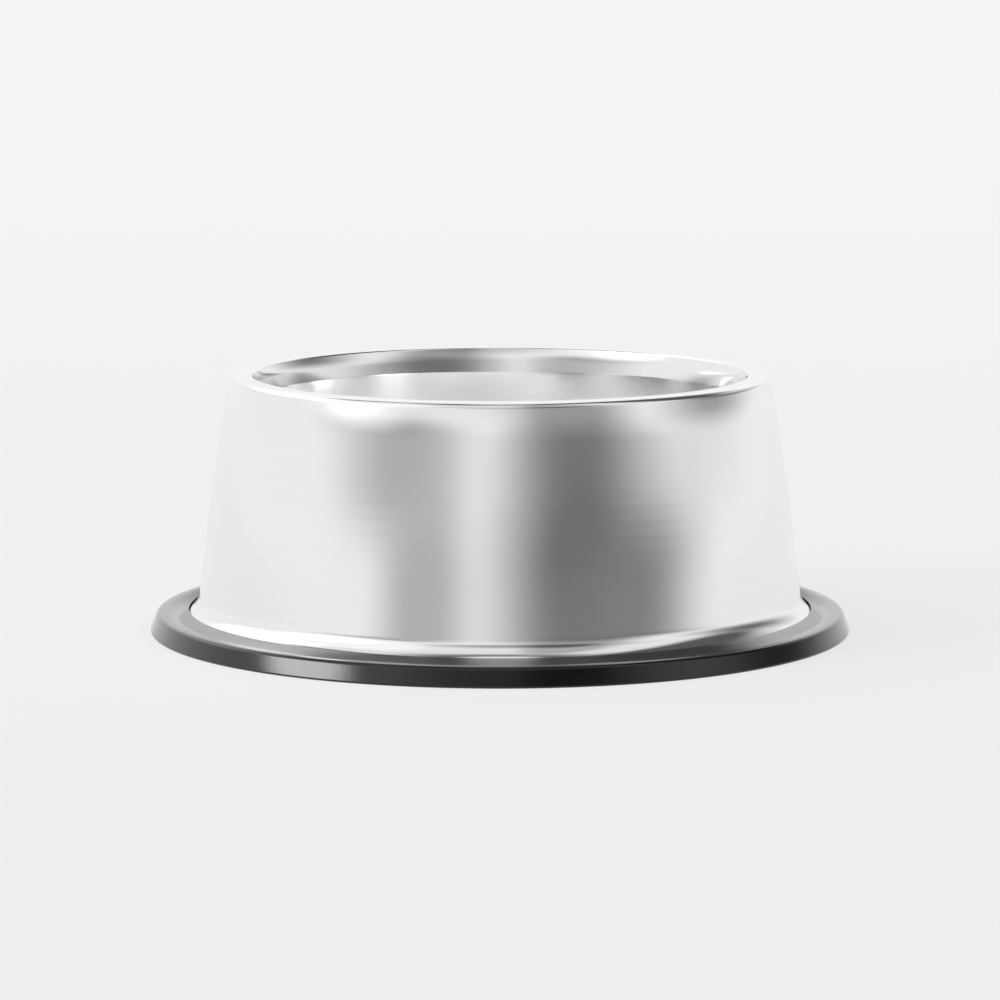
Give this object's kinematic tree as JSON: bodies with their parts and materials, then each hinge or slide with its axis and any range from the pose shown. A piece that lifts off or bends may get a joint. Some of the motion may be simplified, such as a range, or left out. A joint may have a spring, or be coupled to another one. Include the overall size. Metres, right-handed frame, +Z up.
{
  "type": "pet food bowl",
  "caption": "Round steel pet food bowl with a deep, nearly straight well, a sloping skirt and a non-slip rubber ring round its base.",
  "frame": {"origin": "centre of the rubber ring's underside, on the surface that the bowl stands on", "axes": "+Z up along the bowl's axis; the bowl is round, so +X and +Y are free"},
  "size_m": [0.21, 0.21, 0.077],
  "materials": {
    "steel": "satin polished, with a fine turned grain round the axis",
    "rubber": "black moulded rubber, semi-gloss with a fine grain"
  },
  "bodies": {
    "root": {"steel_shell": "steel", "base_ring": "rubber"}
  },
  "joints": []
}
